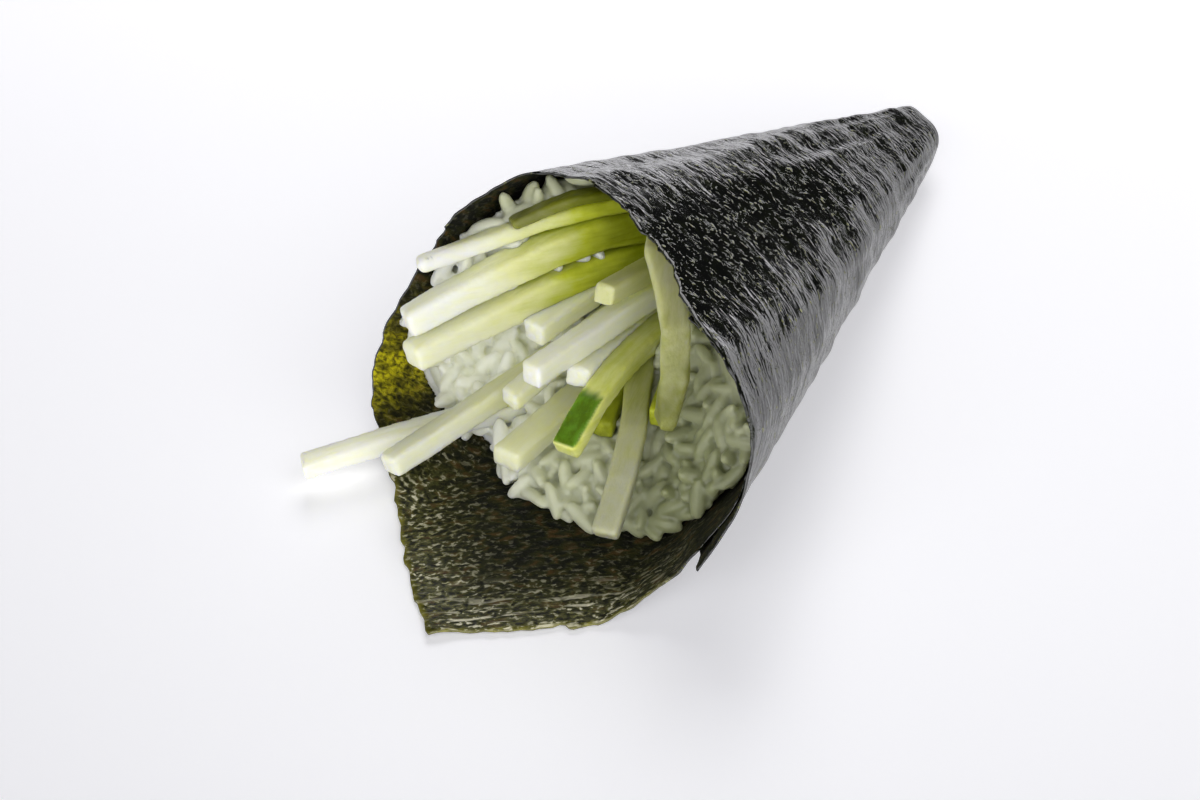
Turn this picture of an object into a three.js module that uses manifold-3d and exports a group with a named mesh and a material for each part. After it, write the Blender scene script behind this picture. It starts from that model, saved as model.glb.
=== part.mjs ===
// Temaki hand roll: a half sheet of nori rolled into a cone round sushi rice and cucumber sticks.
// Millimetres, +Z up. The roll lies on its side on z = 0, its mouth towards -X and its tip towards +X.
// Every shape is worked out from the apex, the point on the floor where the cone's sides would meet.
import * as THREE from 'three';
import { mergeVertices } from 'three/addons/utils/BufferGeometryUtils.js';
import Module from 'manifold-3d';

const wasm = await Module();
wasm.setup();

const { smoothstep, lerp, clamp, degToRad } = THREE.MathUtils;

// ---- driving dimensions -------------------------------------------------------------------------

const apex = new THREE.Vector3(109.3, -0.6, 0); // puts the origin under the middle of the roll

const noriThickness = 0.6;
const layerGap = 0.35; // between two layers of the sheet
const fitGap = 0.3; // between the rice and what it touches
const stickGap = 0.12; // between two sticks that touch
const coreGap = 0.6; // between the rice's bare core and the leaf, wide enough for both faceted walls

// The cone's cross-section at distance 1 from the apex, as harmonics of the angle round it.
const cone = {
  halfWidth: 0.224,
  halfHeight: 0.186,
  lean: -0.026,
  footWidth: 0.03,
  shoulder: 0.042,
  leftRise: 0.03,
  sink: 0.032, // how far the round bottom is pressed flat
};

// The flat sheet, measured from the apex: angles in degrees of the unrolled sheet.
const sheet = {
  mouthDistance: 151.6, // apex to the long edge
  foot: 39.3, // direction of that shortest distance
  turn: 84, // angle that goes once round the cone
  start: -32, // short edge inside the right wall
  corner: 68.4, // outer corner of the long edge
  end: 100, // short edge under the cone
  startCorner: 105.7, // angle between the long edge and the inner short edge
  endFoot: 43, // direction that the outer short edge runs along
  tipRadius: 24,
  tipMiddle: 34,
  tipSpread: 55,
  tipPower: 1.9,
};
// Where the inner layer climbs off the outer one: over this distance past the outer layer's edge, and
// up to this angle of the sheet.
const climb = { past: 12, upTo: 30 };

// The long edge isn't quite straight: waves of its distance from the apex, by turns round the cone.
const rimWaves = [
  { turns: 1, cos: -0.044, sin: -0.0414 },
  { turns: 2, cos: 0.032, sin: 0.0201 },
  { turns: 3, cos: 0.0024, sin: -0.006 },
];
// Short stretches where it stands out (or in, below 0), by the angle round the cone.
const rimBumps = [
  { at: 27, width: 12, out: -2.5 },
  { at: 56, width: 15, out: 3.5 },
  { at: 90, width: 17, out: -3.5 },
  { at: 200, width: 16, out: -4 },
];
const sheetGrid = { startColumns: 11, rimColumns: 32, endColumns: 10, rows: 12 };

// Soft ripples of the leaf: waves round the cone, each turning with the distance from the apex.
const ripple = {
  height: 0.12,
  waves: [
    { turns: 3, pitch: 9 },
    { turns: 7, pitch: -13 },
    { turns: 11, pitch: 5 },
  ],
  from: 0.15, // none at the bottom, which lies on the floor
  to: 0.5,
};
const ragged = { depth: 0.5, pitch: 2.1, beat: 0.9 }; // the torn look of the long edge, by columns

// The leaf's left lip is pressed down and outwards by the stick that lies across it.
const lip = { from: 130, to: 162, flatTo: 42, freeFrom: 78, press: 0.8, outX: 1.15, outY: 0.7 };

const rice = {
  back: 46, // distance of the rice's hidden end from the apex
  footRadius: 160, // how far the rice comes out over the loose leaf at the bottom
  rimMargin: 3, // how far it stays behind the leaf's edge elsewhere
  startMargin: 7, // degrees of the sheet that it stays clear of its inner end
  hollows: [ // where it stays further in, by the angle round the cone
    { at: -66, width: 24, out: -7 },
    { at: -30, width: 20, out: -3.5 },
    { at: 26, width: 16, out: -7.5 },
    { at: 105, width: 38, out: -2.5 },
    { at: 178, width: 34, out: -16 },
  ],
  waist: { y: 0, z: 26, x: -111 }, // deepest point of the face, where the sticks come out
  bowl: 1.5, // power of the bowl that the face makes
  around: 36,
  along: 6,
  faceRings: 6,
};

const grain = {
  tries: 640,
  spacing: 3.7,
  length: 6.4,
  width: 2.35,
  sides: 5,
  sunk: 0.3, // part of its width that is under the face
  lean: 0.35, // how far it may stand out of the face
  clearance: 0.25,
  seed: 11,
};

// ---- the cone -----------------------------------------------------------------------------------

function sectionAt(psi) {
  const y = cone.halfWidth * Math.sin(psi) + cone.lean * (1 - Math.cos(psi)) / 2
    + cone.footWidth * Math.sin(2 * psi);
  const z = cone.halfHeight * (1 - Math.cos(psi)) + cone.shoulder * (1 - Math.cos(2 * psi))
    + cone.leftRise * Math.sin(psi) * (1 - Math.cos(psi)) - cone.sink;
  return new THREE.Vector3(-1, y, Math.max(z, 0));
}

function rayAt(psi) {
  return sectionAt(psi).normalize();
}

// Unit vector into the cone, square to its wall.
function inwardAt(psi) {
  const step = 0.02;
  const tangent = rayAt(psi + step).sub(rayAt(psi - step));
  return tangent.cross(rayAt(psi)).normalize();
}

// Angle of the unrolled sheet for each angle round the section, by summing short chords.
const arcSteps = 1440;
const arcFrom = -1.4 * Math.PI;
const arcTo = 3 * Math.PI;
const arcTable = [];
{
  let sum = 0;
  let last = rayAt(arcFrom);
  for (let i = 0; i <= arcSteps; i++) {
    const psi = lerp(arcFrom, arcTo, i / arcSteps);
    const ray = rayAt(psi);
    sum += ray.distanceTo(last);
    last = ray;
    arcTable.push({ psi, arc: sum });
  }
}

function arcOfPsi(psi) {
  const place = clamp((psi - arcFrom) / (arcTo - arcFrom) * arcSteps, 0, arcSteps - 1e-6);
  const i = Math.floor(place);
  return lerp(arcTable[i].arc, arcTable[i + 1].arc, place - i);
}

const arcZero = arcOfPsi(0);
const arcTurn = arcOfPsi(2 * Math.PI) - arcZero;

function psiOfPhi(phi) {
  const arc = arcZero + phi / sheet.turn * arcTurn;
  let i = 0;
  while (i < arcSteps - 1 && arcTable[i + 1].arc < arc) i++;
  const part = (arc - arcTable[i].arc) / (arcTable[i + 1].arc - arcTable[i].arc);
  return lerp(arcTable[i].psi, arcTable[i + 1].psi, part);
}

function phiOfPsi(psi) {
  return (arcOfPsi(psi) - arcZero) / arcTurn * sheet.turn;
}

// ---- the sheet's outline, as the distance from the apex for each angle of the unrolled sheet ----

function sumBumps(bumps, psi) {
  let sum = 0;
  for (const { at, width, out } of bumps) {
    const away = Math.atan2(Math.sin(psi - degToRad(at)), Math.cos(psi - degToRad(at)));
    sum += out * Math.exp(-((away / degToRad(width)) ** 2));
  }
  return sum;
}

function rimRadius(phi) {
  const psi = psiOfPhi(phi);
  let wave = 1;
  for (const { turns, cos, sin } of rimWaves) {
    wave += cos * (1 - Math.cos(turns * psi)) / 2 + sin * Math.sin(turns * psi);
  }
  return sheet.mouthDistance / Math.cos(degToRad(phi - sheet.foot)) * wave + sumBumps(rimBumps, psi);
}

const startEdge = {
  x: -sheet.mouthDistance * Math.tan(degToRad(sheet.foot)),
  y: sheet.mouthDistance,
  dx: Math.cos(degToRad(sheet.startCorner)),
  dy: -Math.sin(degToRad(sheet.startCorner)),
};

function startRadius(phi) {
  const s = Math.sin(degToRad(phi - sheet.foot));
  const c = Math.cos(degToRad(phi - sheet.foot));
  return (startEdge.x * startEdge.dy - startEdge.y * startEdge.dx) / (s * startEdge.dy - c * startEdge.dx);
}

const endDistance = rimRadius(sheet.corner) * Math.sin(degToRad(sheet.corner - sheet.endFoot));

function outerRadius(phi) {
  if (phi < 0) return startRadius(phi);
  if (phi <= sheet.corner) return rimRadius(phi);
  return endDistance / Math.sin(degToRad(phi - sheet.endFoot));
}

function tipRadius(phi) {
  const away = Math.min(Math.abs(phi - sheet.tipMiddle), sheet.tipSpread);
  return sheet.tipRadius / Math.cos(degToRad(away)) ** sheet.tipPower;
}

// How far the sheet is lifted into the cone where its own outer layer lies underneath.
function layerLift(phi, radius) {
  if (phi > climb.upTo) return 0;
  const cover = outerRadius(phi + sheet.turn);
  const covered = 1 - smoothstep(radius, cover, cover + climb.past);
  const fade = 1 - smoothstep(phi, sheet.end - sheet.turn, climb.upTo);
  return (noriThickness + layerGap) * covered * fade;
}

// Ripples are the same in both layers of the leaf.
function rippleAt(psi, radius) {
  let sum = 0;
  for (const { turns, pitch } of ripple.waves) sum += Math.sin(turns * psi + radius / pitch);
  return ripple.height * sum * smoothstep(1 - Math.cos(psi), ripple.from, ripple.to);
}

function lipPress(psi, radius) {
  const turned = Math.abs(Math.atan2(Math.sin(psi), Math.cos(psi)));
  if (Math.sin(psi) < 0) return 0;
  const near = 1 - smoothstep(turned, degToRad(lip.flatTo), degToRad(lip.freeFrom));
  return lip.press * near * smoothstep(radius, lip.from, lip.to);
}

function wallPoint(psi, radius, inset) {
  const point = rayAt(psi).multiplyScalar(radius);
  const drop = point.z * lipPress(psi, radius);
  point.add(new THREE.Vector3(lip.outX * drop, lip.outY * drop, -drop));
  point.addScaledVector(inwardAt(psi), inset + rippleAt(psi, radius));
  return point;
}

// ---- meshes -------------------------------------------------------------------------------------

function surfaceGeometry(points, triangles) {
  const geometry = new THREE.BufferGeometry();
  geometry.setAttribute('position', new THREE.Float32BufferAttribute(points.flatMap((p) => p.toArray()), 3));
  geometry.setIndex(triangles.flat());
  return geometry;
}

function toManifold(geometry) {
  const bare = geometry.clone();
  bare.deleteAttribute('normal');
  bare.deleteAttribute('uv');
  const merged = mergeVertices(bare, 1e-4);
  const mesh = new wasm.Mesh({
    numProp: 3,
    vertProperties: Float32Array.from(merged.attributes.position.array),
    triVerts: Uint32Array.from(merged.index.array),
  });
  return new wasm.Manifold(mesh);
}

function toGeometry(manifold) {
  const mesh = manifold.getMesh();
  const geometry = new THREE.BufferGeometry();
  geometry.setAttribute('position', new THREE.BufferAttribute(mesh.vertProperties, 3));
  geometry.setIndex(new THREE.BufferAttribute(mesh.triVerts, 1));
  return geometry;
}

// A closed solid from rings of points, each end shut by a fan on the ring's first point or a pole.
function ringSolid(rings, { startPole, endPole } = {}) {
  const points = rings.flat();
  const size = rings[0].length;
  const triangles = [];
  for (let i = 0; i + 1 < rings.length; i++) {
    for (let k = 0; k < size; k++) {
      const a = i * size + k;
      const b = i * size + (k + 1) % size;
      triangles.push([a, b, a + size], [b, b + size, a + size]);
    }
  }
  const last = (rings.length - 1) * size;
  if (startPole) {
    const pole = points.push(startPole) - 1;
    for (let k = 0; k < size; k++) triangles.push([pole, (k + 1) % size, k]);
  } else {
    for (let k = 1; k + 1 < size; k++) triangles.push([0, k + 1, k]);
  }
  if (endPole) {
    const pole = points.push(endPole) - 1;
    for (let k = 0; k < size; k++) triangles.push([pole, last + k, last + (k + 1) % size]);
  } else {
    for (let k = 1; k + 1 < size; k++) triangles.push([last, last + k, last + k + 1]);
  }
  return surfaceGeometry(points, triangles);
}

// ---- nori ---------------------------------------------------------------------------------------

// Angles of the sheet's columns, with one on each corner of the long edge.
function columnAngles() {
  const { startColumns, rimColumns, endColumns } = sheetGrid;
  const angles = [];
  for (let i = 0; i < startColumns; i++) angles.push(lerp(sheet.start, 0, i / startColumns));
  for (let i = 0; i < rimColumns; i++) angles.push(lerp(0, sheet.corner, i / rimColumns));
  for (let i = 0; i <= endColumns; i++) angles.push(lerp(sheet.corner, sheet.end, i / endColumns));
  return angles;
}

// `grow` thickens the leaf on its inner side, to cut what lies inside it.
function noriGeometry(grow = 0) {
  const angles = columnAngles();
  const columns = angles.length - 1;
  const { rows } = sheetGrid;
  const points = [];
  for (const face of [0, 1]) {
    for (let i = 0; i <= columns; i++) {
      const phi = angles[i];
      const psi = psiOfPhi(phi);
      const torn = ragged.depth * Math.sin(i * ragged.pitch) * Math.sin(i * ragged.beat);
      const inner = tipRadius(phi);
      const outer = outerRadius(phi) + torn;
      for (let j = 0; j <= rows; j++) {
        const radius = lerp(inner, outer, j / rows);
        points.push(wallPoint(psi, radius, layerLift(phi, radius) + face * (noriThickness + grow)));
      }
    }
  }
  const half = (columns + 1) * (rows + 1);
  const at = (face, i, j) => face * half + i * (rows + 1) + j;
  const triangles = [];
  for (let i = 0; i < columns; i++) {
    for (let j = 0; j < rows; j++) {
      triangles.push([at(0, i, j), at(0, i, j + 1), at(0, i + 1, j)]);
      triangles.push([at(0, i, j + 1), at(0, i + 1, j + 1), at(0, i + 1, j)]);
      triangles.push([at(1, i, j), at(1, i + 1, j), at(1, i, j + 1)]);
      triangles.push([at(1, i, j + 1), at(1, i + 1, j), at(1, i + 1, j + 1)]);
    }
  }
  const wall = (a, b) => triangles.push(
    [at(0, ...a), at(1, ...a), at(0, ...b)],
    [at(0, ...b), at(1, ...a), at(1, ...b)],
  );
  for (let i = 0; i < columns; i++) {
    wall([i, rows], [i + 1, rows]);
    wall([i + 1, 0], [i, 0]);
  }
  for (let j = 0; j < rows; j++) {
    wall([0, j], [0, j + 1]);
    wall([columns, j + 1], [columns, j]);
  }
  return surfaceGeometry(points, triangles);
}

// ---- cucumber sticks ----------------------------------------------------------------------------

// Each stick runs from inside the rice through the bundle's waist and fans out to its tip. Places are
// measured from the apex. `waist` is [y, z] at the waist; `path` replaces the usual run, root to tip.
// `taper` is how much thicker the root is than the tip; `cut` slants the end, `roll` turns it.
const waistX = -121;
const rootShift = new THREE.Vector3(29, 0, -6); // from a stick's place at the waist to its hidden root
const sticks = [
  {
    name: '01',
    path: [[-100, 3, 29], [-118, 9, 37], [-129, 16, 37.8], [-141, 24.3, 36.2], [-151, 29.7, 35.7]],
    width: 2.8, height: 1.5, taper: 1.5, roll: 20, cut: 0.3,
  },
  {
    name: '02',
    path: [[-92, 0, 22], [-113, 6.2, 31.4], [-124, 11.4, 33.7], [-141, 20.7, 31.4], [-156, 29.3, 27.2]],
    width: 3.9, height: 3.8, taper: 1.6, roll: 10, cut: 0.1,
  },
  {
    name: '03',
    path: [[-92, -1, 16], [-114, 5.4, 26], [-125, 10.8, 27.6], [-143, 19.6, 24.8], [-158, 27.1, 22.3]],
    width: 4.1, height: 3.9, taper: 1.2, roll: 8, cut: -0.1,
  },
  { name: '04', waist: [0.8, 28.8], tip: [-141, 0.5, 34], width: 3.5, height: 3.4, roll: 0, cut: 0 },
  { name: '05', waist: [0.3, 24.6], tip: [-160, 2.8, 28.5], width: 3.9, height: 3.7, roll: 5, cut: 0.2 },
  { name: '06', waist: [9.8, 23.4], tip: [-142, 13.6, 22.2], width: 4.2, height: 3.7, roll: 0, cut: 0 },
  {
    name: '07',
    path: [[-92, -1, 12], [-126, -1.7, 19.4], [-143, -3.4, 21.9], [-153, -4.5, 21.6], [-161.1, -4.4, 17]],
    width: 4.2, height: 3.4, taper: 1.15, roll: 0, cut: 0,
  },
  { name: '08', waist: [7.2, 19.2], tip: [-153, 11.5, 16], width: 3.6, height: 3.2, roll: 0, cut: 0.2 },
  {
    name: '09',
    path: [[-95, 1, 10], [-128, -0.6, 16.4], [-149, -10, 15.8], [-158, -13.2, 12.4], [-166, -14.8, 7]],
    width: 4.2, height: 3, roll: 0, cut: 0,
  },
  {
    name: '10',
    path: [[-104, 0, 28], [-120, -0.8, 37], [-131, -3.8, 40.2], [-139, -10.7, 38], [-147, -16.9, 33.6],
      [-151, -18.4, 27], [-152, -17.4, 21.5]],
    width: 4.5, height: 2.2, roll: 0, cut: 0,
  },
  {
    name: '11',
    path: [[-126, 3, 6.4], [-139, 10.2, 8], [-155.5, 25.4, 6.8], [-173.5, 39.6, 4.4]],
    width: 3.8, height: 3.2, roll: 0, cut: 0.2,
  },
  { name: '12', waist: [9.4, 15], tip: [-170.5, 24, 8.8], width: 4.0, height: 3.6, roll: 15, cut: 0 },
  {
    name: '13', waist: [1.6, 20], tip: [-150.5, -0.2, 23.4],
    width: 3.6, height: 3.2, roll: 0, cut: -0.2,
  },
  { name: '14', waist: [4, 11.9], tip: [-163, 6, 12.2], width: 5.0, height: 3.4, roll: 0, cut: 0 },
  { name: '15', waist: [3.7, 16.3], tip: [-149, -4, 13.2], width: 3.2, height: 3.2, roll: 0, cut: 0 },
  { name: '16', waist: [-4.4, 16.2], tip: [-146.5, -13.1, 17.5], width: 2.8, height: 3.2, roll: 0, cut: 0 },
  {
    name: '17',
    path: [[-98, 3, 30], [-113, 6, 36.4], [-122, 9.6, 40.6], [-129, 14.6, 41.2], [-137, 20.8, 38.8]],
    width: 3.4, height: 1.6, roll: 15, cut: 0,
  },
];
const stickSteps = 8;
const stickBend = { before: 0.8, after: 0.12 }; // how near the waist the run bends, root side and tip side

function stickCurve({ path, waist, tip }) {
  if (path) return new THREE.CatmullRomCurve3(path.map((place) => new THREE.Vector3(...place)));
  const middle = new THREE.Vector3(waistX, ...waist);
  const root = middle.clone().add(rootShift);
  const end = new THREE.Vector3(...tip);
  const before = root.clone().lerp(middle, stickBend.before);
  const after = middle.clone().lerp(end, stickBend.after);
  return new THREE.CatmullRomCurve3([root, before, after, end]);
}

function stickGeometry(stick, grow = 0) {
  const curve = stickCurve(stick);
  const { width, height, taper = 1 } = stick;
  const corners = [[-1, -1], [1, -1], [1, 1], [-1, 1]];
  const rings = [];
  for (let i = 0; i <= stickSteps; i++) {
    const t = i / stickSteps;
    const halfWidth = width / 2 * lerp(taper, 1, t) + grow;
    const halfHeight = height / 2 * lerp(taper, 1, t) + grow;
    const centre = curve.getPointAt(t);
    const along = curve.getTangentAt(t);
    const side = new THREE.Vector3(0, 0, 1).cross(along).normalize();
    side.applyAxisAngle(along, degToRad(stick.roll * t));
    const up = new THREE.Vector3().crossVectors(along, side);
    if (i === 0) centre.addScaledVector(along, -grow);
    if (i === stickSteps) centre.addScaledVector(along, grow);
    rings.push(corners.map(([u, v]) => {
      const skew = i === stickSteps ? stick.cut * u * halfWidth : 0;
      return centre.clone().addScaledVector(side, u * halfWidth).addScaledVector(up, v * halfHeight)
        .addScaledVector(along, skew);
    }));
  }
  return ringSolid(rings);
}

function largestPiece(solid) {
  return solid.decompose().sort((a, b) => b.volume() - a.volume())[0];
}

// The sticks are pressed together inside the rice: each gives way to the ones before it.
function stickSolids() {
  const solids = [];
  for (let i = 0; i < sticks.length; i++) {
    let solid = toManifold(stickGeometry(sticks[i]));
    for (const earlier of sticks.slice(0, i)) {
      solid = solid.subtract(toManifold(stickGeometry(earlier, stickGap)));
    }
    solids.push(largestPiece(solid));
  }
  return solids;
}

// ---- rice ---------------------------------------------------------------------------------------

// How far inside the cone's outer face the rice's core starts: past one layer of leaf, or two where
// the sheet's inner end lies against the wall.
function riceInset(psi, radius) {
  const phi = phiOfPsi(THREE.MathUtils.euclideanModulo(psi, 2 * Math.PI));
  const innerPhi = phi - sheet.turn;
  const inner = innerPhi > sheet.start - rice.startMargin ? layerLift(innerPhi, radius) : 0;
  return Math.max(layerLift(phi, radius), inner) + noriThickness + coreGap;
}

function riceRim(psi) {
  const phi = phiOfPsi(psi);
  const edge = phi > sheet.corner ? rice.footRadius : rimRadius(phi) - rice.rimMargin;
  const radius = Math.min(edge, rice.footRadius) + sumBumps(rice.hollows, psi);
  return wallPoint(psi, radius, riceInset(psi, radius));
}

// A place on the face: `turn` goes round the rim, `depth` from 0 at the rim to 1 at the waist.
function facePoint(psi, depth) {
  const rim = riceRim(psi);
  const { waist } = rice;
  return new THREE.Vector3(
    lerp(rim.x, waist.x, depth ** rice.bowl),
    lerp(rim.y, waist.y, depth),
    lerp(rim.z, waist.z, depth),
  );
}

function riceCoreGeometry() {
  const rings = [];
  const angles = Array.from({ length: rice.around }, (_, k) => 2 * Math.PI * (1 - k / rice.around));
  const radii = angles.map((psi) => riceRim(psi).length());
  for (let i = 0; i < rice.along; i++) {
    const part = i / rice.along;
    rings.push(angles.map((psi, k) => {
      const radius = lerp(rice.back, radii[k], part);
      return wallPoint(psi, radius, riceInset(psi, radius));
    }));
  }
  for (let i = 0; i < rice.faceRings; i++) {
    rings.push(angles.map((psi) => facePoint(psi, i / rice.faceRings)));
  }
  const back = new THREE.Vector3(-rice.back, 0, rice.back * cone.halfHeight);
  const front = new THREE.Vector3(rice.waist.x, rice.waist.y, rice.waist.z);
  return ringSolid(rings, { startPole: back, endPole: front });
}

// Repeatable draws from 0 to 1.
function makeRandom(seed) {
  let state = seed;
  return () => {
    state = (Math.imul(state, 1664525) + 1013904223) >>> 0;
    return state / 4294967296;
  };
}

function grainGeometry(centre, along, length, width) {
  const side = new THREE.Vector3(0.31, 0.42, 0.85).cross(along).normalize();
  const up = new THREE.Vector3().crossVectors(along, side);
  const rings = [-0.27, 0.27].map((place) => {
    const radius = width / 2;
    return Array.from({ length: grain.sides }, (_, k) => {
      const turn = 2 * Math.PI * k / grain.sides;
      return centre.clone().addScaledVector(along, place * length)
        .addScaledVector(side, Math.cos(turn) * radius).addScaledVector(up, Math.sin(turn) * radius);
    });
  });
  const startPole = centre.clone().addScaledVector(along, -length / 2);
  const endPole = centre.clone().addScaledVector(along, length / 2);
  return ringSolid(rings, { startPole, endPole });
}

// The core with the grains that show on its face. A grain that would touch a stick or the leaf is
// shortened and sunk deeper, and left out if that isn't enough.
function riceGeometry(neighbours) {
  let core = toManifold(riceCoreGeometry()).subtract(toManifold(noriGeometry(fitGap)));
  for (const stick of sticks) core = core.subtract(toManifold(stickGeometry(stick, fitGap)));
  const random = makeRandom(grain.seed);
  const goldenTurn = Math.PI * (3 - Math.sqrt(5));
  const grains = [];
  const spots = [];
  for (let k = 0; k < grain.tries; k++) {
    const psi = (k * goldenTurn) % (2 * Math.PI);
    const depth = 1 - Math.sqrt((k + 0.5) / grain.tries);
    const spot = facePoint(psi, depth);
    if (spots.some((other) => other.distanceTo(spot) < grain.spacing)) continue;
    const inward = facePoint(psi, depth + 0.02).sub(spot);
    const round = facePoint(psi + 0.05, depth).sub(spot);
    const out = new THREE.Vector3().crossVectors(inward, round).normalize();
    const along = round.normalize().applyAxisAngle(out, random() * Math.PI);
    along.addScaledVector(out, (random() - 0.5) * 2 * grain.lean).normalize();
    const length = grain.length * (0.82 + 0.3 * random());
    const width = grain.width * (0.88 + 0.24 * random());
    for (const shrink of [1, 0.78, 0.6]) {
      const centre = spot.clone().addScaledVector(out, width * (0.5 - grain.sunk) - (1 - shrink) * 2);
      const test = toManifold(
        grainGeometry(centre, along, length * shrink + 2 * grain.clearance, width + 2 * grain.clearance),
      );
      if (neighbours.some((other) => test.intersect(other).volume() > 1e-6)) continue;
      grains.push(toManifold(grainGeometry(centre, along, length * shrink, width)));
      spots.push(spot);
      break;
    }
  }
  return toGeometry(largestPiece(grains.reduce((sum, piece) => sum.add(piece), core)));
}

const content = new THREE.Group();
content.position.copy(apex);

function addMesh(name, geometry, material) {
  const mesh = new THREE.Mesh(geometry, material);
  mesh.name = name;
  content.add(mesh);
}

const noriMaterial = new THREE.MeshStandardMaterial({ color: 0x1d2016, roughness: 0.55, metalness: 0 });
const riceMaterial = new THREE.MeshStandardMaterial({ color: 0xe9ebe6, roughness: 0.45, metalness: 0 });
const cucumberMaterial = new THREE.MeshStandardMaterial({ color: 0xd9e3b4, roughness: 0.35, metalness: 0 });

const nori = noriGeometry();
const cucumber = stickSolids();
addMesh('nori_sheet', nori, noriMaterial);
addMesh('rice_filling', riceGeometry([toManifold(nori), ...cucumber]), riceMaterial);
sticks.forEach(({ name }, i) => addMesh(`cucumber_stick_${name}`, toGeometry(cucumber[i]), cucumberMaterial));

const roll = new THREE.Group();
roll.add(content);

export default roll;
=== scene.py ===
import math

import bmesh
import bpy
import numpy as np
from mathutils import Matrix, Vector, noise
from mathutils.bvhtree import BVHTree
from mathutils.kdtree import KDTree


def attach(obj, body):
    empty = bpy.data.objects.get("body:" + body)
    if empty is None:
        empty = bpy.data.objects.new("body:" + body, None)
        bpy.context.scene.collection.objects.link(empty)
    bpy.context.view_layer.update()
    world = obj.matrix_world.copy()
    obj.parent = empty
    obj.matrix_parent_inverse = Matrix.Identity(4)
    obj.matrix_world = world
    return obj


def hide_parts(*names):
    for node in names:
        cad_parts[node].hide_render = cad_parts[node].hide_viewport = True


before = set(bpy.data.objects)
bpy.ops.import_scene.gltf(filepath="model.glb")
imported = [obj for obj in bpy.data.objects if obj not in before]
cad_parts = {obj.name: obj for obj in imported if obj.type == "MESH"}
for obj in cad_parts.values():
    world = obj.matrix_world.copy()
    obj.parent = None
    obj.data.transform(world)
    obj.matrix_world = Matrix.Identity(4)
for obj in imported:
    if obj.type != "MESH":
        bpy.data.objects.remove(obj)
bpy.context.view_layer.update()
mm = 0.001
print("frame loaded:", len(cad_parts), "nodes")

# camera: a long lens from in front of the mouth, looking down

cameraSetup = {
    "lens": 99.36, "film": 36, "nearest": 10,
    "place": (-416.8, -230.8, 340.0), "down": 36.1, "turn": -59.0,
}

cameraData = bpy.data.cameras.new("Camera")
cameraData.lens = cameraSetup["lens"]
cameraData.sensor_width = cameraSetup["film"]
cameraData.clip_start = cameraSetup["nearest"] * mm
cameraObject = bpy.data.objects.new("Camera", cameraData)
cameraObject.location = Vector(cameraSetup["place"]) * mm
cameraObject.rotation_euler = (math.radians(90 - cameraSetup["down"]), 0, math.radians(cameraSetup["turn"]))
bpy.context.scene.collection.objects.link(cameraObject)
bpy.context.scene.camera = cameraObject


# helpers

def addPiece(name, mesh, materials, slot=None, replaces=()):
    piece = bpy.data.objects.new(name, mesh)
    for material in materials:
        mesh.materials.append(material)
    bpy.context.scene.collection.objects.link(piece)
    if slot:
        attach(piece, "root")
    if replaces:
        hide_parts(*replaces)
    return piece


def shadeSmooth(mesh):
    mesh.polygons.foreach_set("use_smooth", [True] * len(mesh.polygons))


def addAttribute(mesh, name, values):
    attribute = mesh.attributes.new(name, "FLOAT", "POINT")
    attribute.data.foreach_set("value", np.asarray(values, np.float32))


def addVectorAttribute(mesh, name, values):
    attribute = mesh.attributes.new(name, "FLOAT_VECTOR", "POINT")
    attribute.data.foreach_set("vector", np.asarray(values, np.float32).ravel())


def ballOf(segments, rings, radius):  # with its faces in the same order each run
    bm = bmesh.new()
    bmesh.ops.create_uvsphere(bm, u_segments=segments, v_segments=rings, radius=radius)
    bm.verts.index_update()
    corners = []
    for face in bm.faces:
        ring = [vertex.index for vertex in face.verts]
        first = ring.index(min(ring))
        corners.append(ring[first:] + ring[:first])
    mesh = bpy.data.meshes.new("ball")
    mesh.from_pydata([vertex.co[:] for vertex in bm.verts], [], sorted(corners))
    bm.clear()
    bm.from_mesh(mesh)
    bpy.data.meshes.remove(mesh)
    return bm


def treeFrom(bm):  # for finding near places on it, in mm
    for vertex in bm.verts:
        vertex.co /= mm
    tree = BVHTree.FromBMesh(bm)
    bm.free()
    return tree


def remeshed(mesh, size, kept=1.0):  # one closed skin round everything, with this share of its faces kept
    shaper = bpy.data.objects.new("shaper", mesh)
    bpy.context.scene.collection.objects.link(shaper)
    remesh = shaper.modifiers.new("remesh", "REMESH")
    remesh.mode = "VOXEL"
    remesh.voxel_size = size * mm
    if kept < 1:
        thin = shaper.modifiers.new("thin", "DECIMATE")
        thin.ratio = kept
    skin = bpy.data.meshes.new_from_object(shaper.evaluated_get(bpy.context.evaluated_depsgraph_get()))
    bpy.data.objects.remove(shaper)
    return skin


def soften(bm, times):
    for _ in range(times):
        bmesh.ops.smooth_vert(bm, verts=bm.verts, factor=0.5,
                              use_axis_x=True, use_axis_y=True, use_axis_z=True)


def ease(value, low, high):  # climbs smoothly from 0 at low to 1 at high
    part = np.clip((np.asarray(value, float) - low) / (high - low), 0, 1)
    return part * part * (3 - 2 * part)


def bell(away, width, power=2):
    return np.exp(-(away / width) ** power)


def angleFrom(psi, degrees):  # within half a turn either way
    return (psi - math.radians(degrees) + math.pi) % (2 * math.pi) - math.pi


def noiseAt(x, y, z=0.0):
    return noise.noise(Vector((float(x), float(y), float(z))))


# cone and sheet: the same as in the solids, in mm and degrees. The cone's section is at distance 1 from its
# apex. psi is an angle round the cone, phi the angle of the same place in the flat sheet.

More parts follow.
